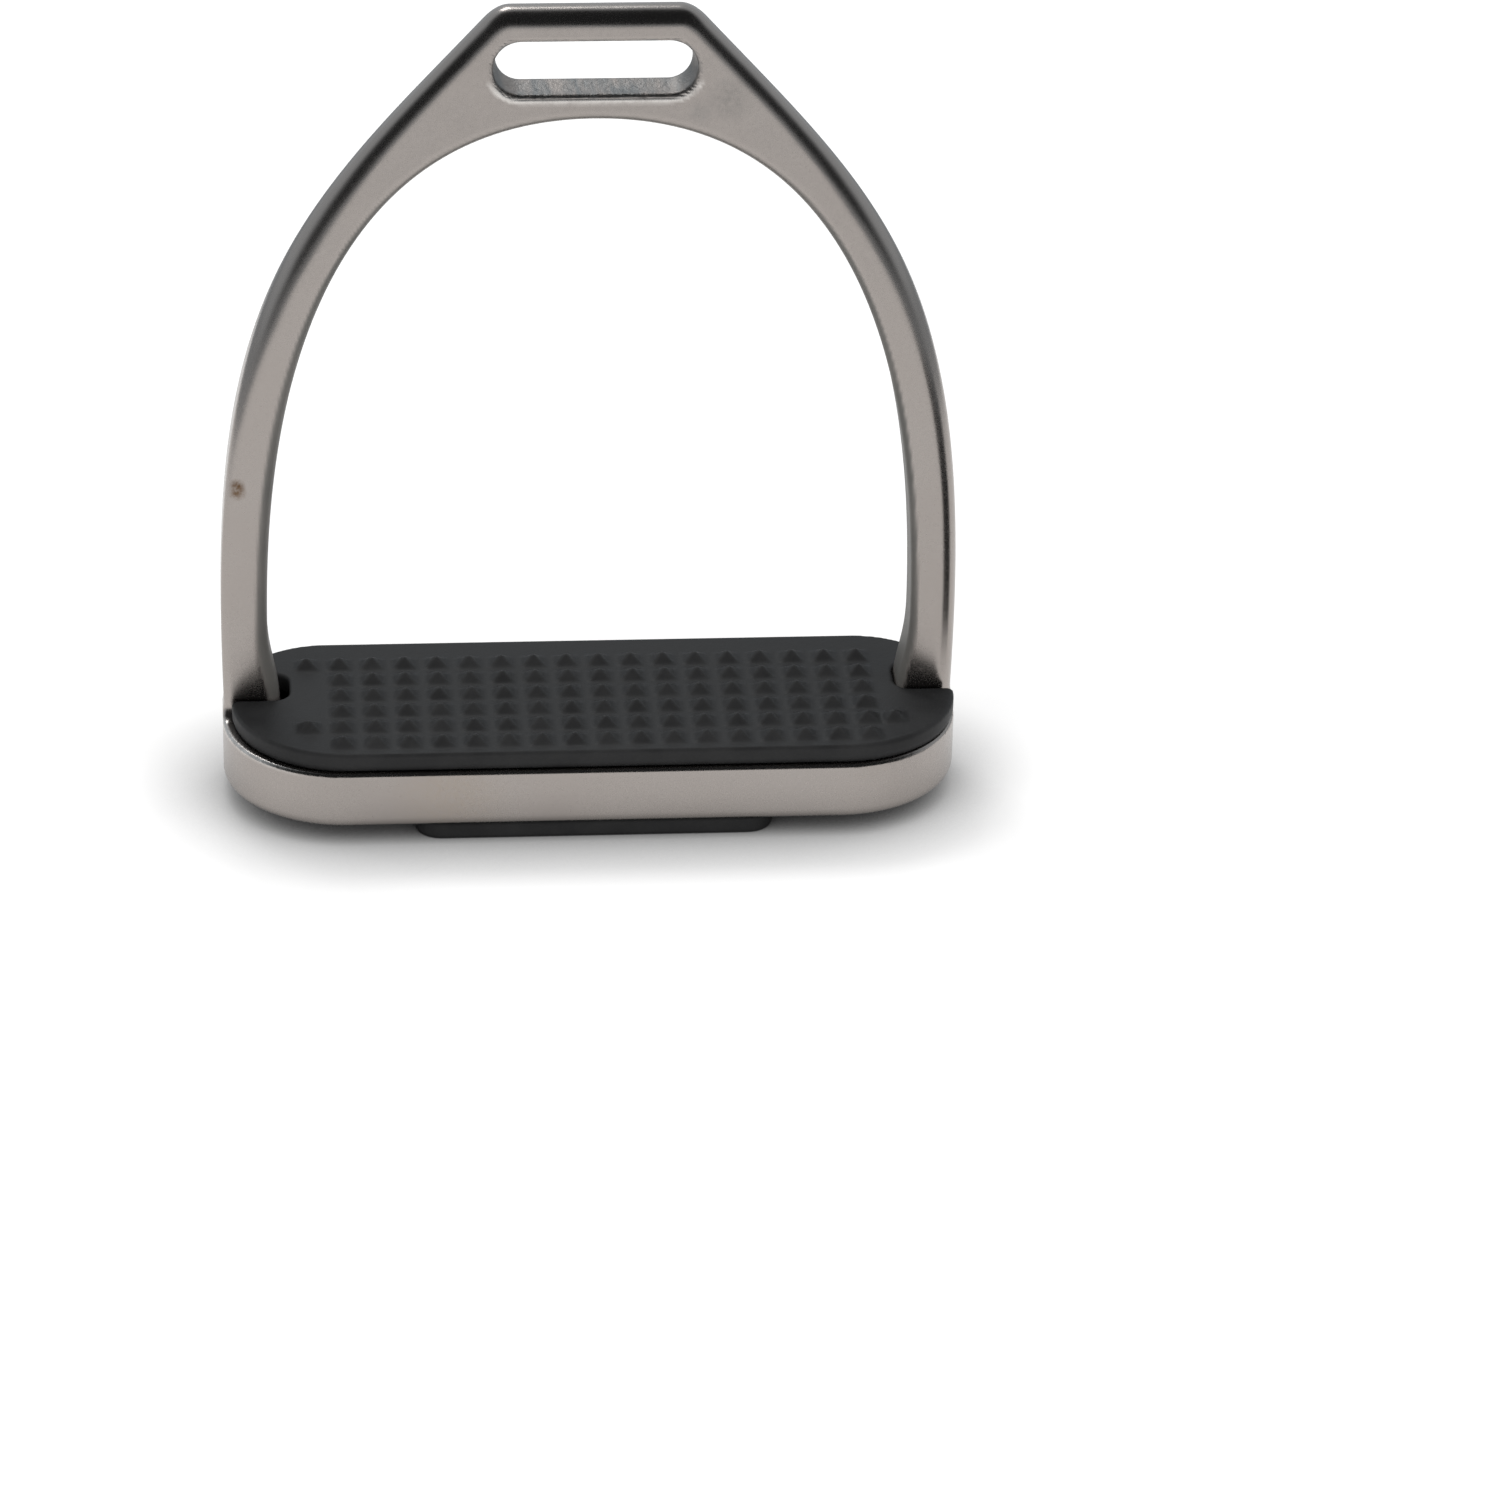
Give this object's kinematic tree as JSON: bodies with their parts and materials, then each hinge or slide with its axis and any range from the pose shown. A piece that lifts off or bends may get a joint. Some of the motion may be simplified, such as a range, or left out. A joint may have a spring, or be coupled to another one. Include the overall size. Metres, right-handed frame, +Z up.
{
  "type": "stirrup iron",
  "caption": "Riding stirrup iron: arched steel frame with a slotted eye and an open footplate, holding an exchangeable studded rubber tread.",
  "frame": {"origin": "on the ground under the middle of the footplate, where the tread's wings rest", "axes": "+X along the footplate, +Y from the front of the footplate to its back, +Z up to the eye"},
  "size_m": [0.1392, 0.0464, 0.1574],
  "materials": {
    "steel": "satin",
    "rubber": "matte"
  },
  "bodies": {
    "iron": {"iron": "steel"},
    "tread": {"tread_pad": "rubber", "front_wing": "rubber", "rear_wing": "rubber"}
  },
  "joints": [
    {"name": "tread_lift", "type": "slide", "parent": "iron", "child": "tread", "axis": [0, 0, 1], "range_m": [0, 0.03], "deforming": ["front_wing", "rear_wing"]}
  ]
}
